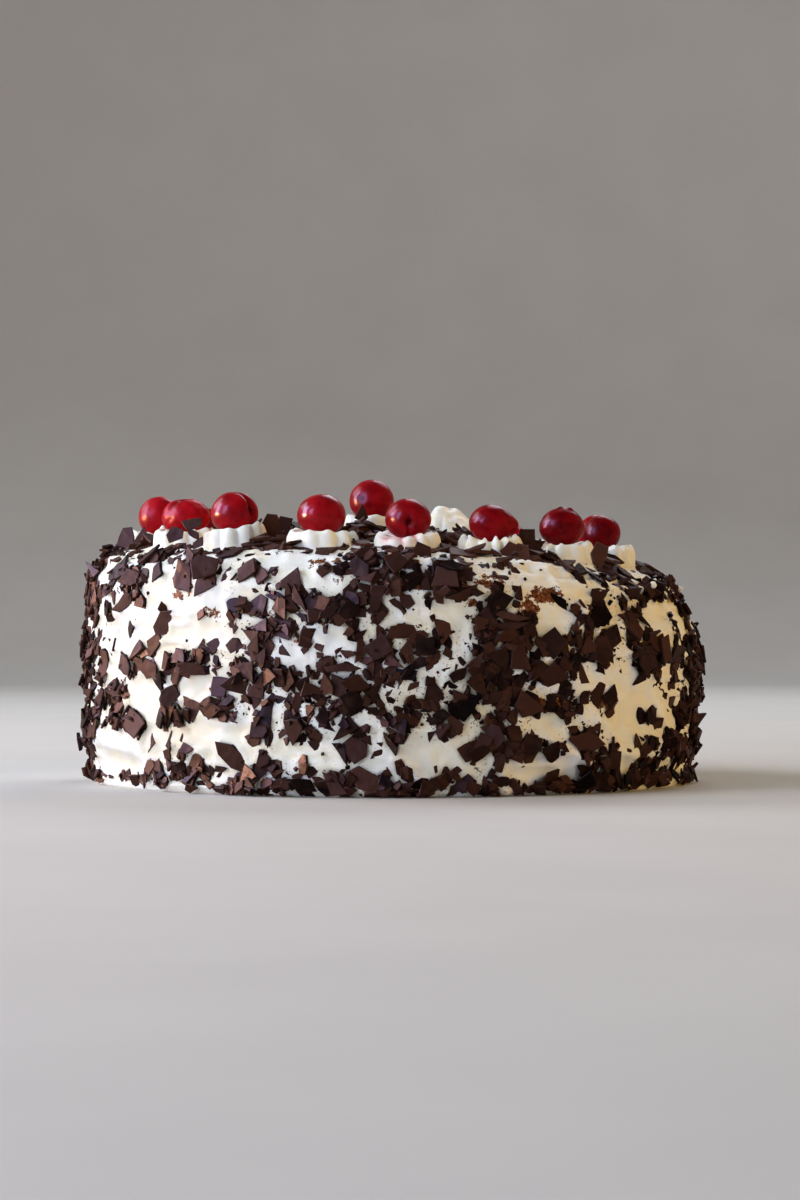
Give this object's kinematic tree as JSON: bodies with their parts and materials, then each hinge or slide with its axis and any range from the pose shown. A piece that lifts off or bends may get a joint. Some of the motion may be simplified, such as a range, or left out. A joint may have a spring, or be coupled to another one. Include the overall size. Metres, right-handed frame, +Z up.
{
  "type": "black forest cake",
  "caption": "Round layer cake coated in whipped cream and chocolate flakes, topped with piped cream rosettes that each hold a sour cherry.",
  "frame": {"origin": "middle of the cake's flat base, at the height it stands on", "axes": "+Z up along the cake's axis, -Y towards the front, +X towards the side that is a little lower"},
  "size_m": [0.271, 0.271, 0.135],
  "materials": {
    "cream": "soft matte whipped cream",
    "cherry": "glossy wet cherry skin",
    "chocolate": "matte dark chocolate flakes"
  },
  "bodies": {
    "root": {"cake_body": "cream", "cherry_01": "cherry", "cherry_02": "cherry", "cherry_03": "cherry", "cherry_04": "cherry", "cherry_05": "cherry", "cherry_06": "cherry", "cherry_07": "cherry", "cherry_08": "cherry", "cherry_09": "cherry", "cherry_10": "cherry", "cherry_11": "cherry", "cherry_12": "cherry", "cherry_13": "cherry", "cherry_14": "cherry", "cherry_15": "cherry", "cherry_16": "cherry", "cherry_middle": "cherry", "rosette_01": "cream", "rosette_02": "cream", "rosette_03": "cream", "rosette_04": "cream", "rosette_05": "cream", "rosette_06": "cream", "rosette_07": "cream", "rosette_08": "cream", "rosette_09": "cream", "rosette_10": "cream", "rosette_11": "cream", "rosette_12": "cream", "rosette_13": "cream", "rosette_14": "cream", "rosette_15": "cream", "rosette_16": "cream", "rosette_bare": "cream", "rosette_middle": "cream"}
  },
  "joints": []
}
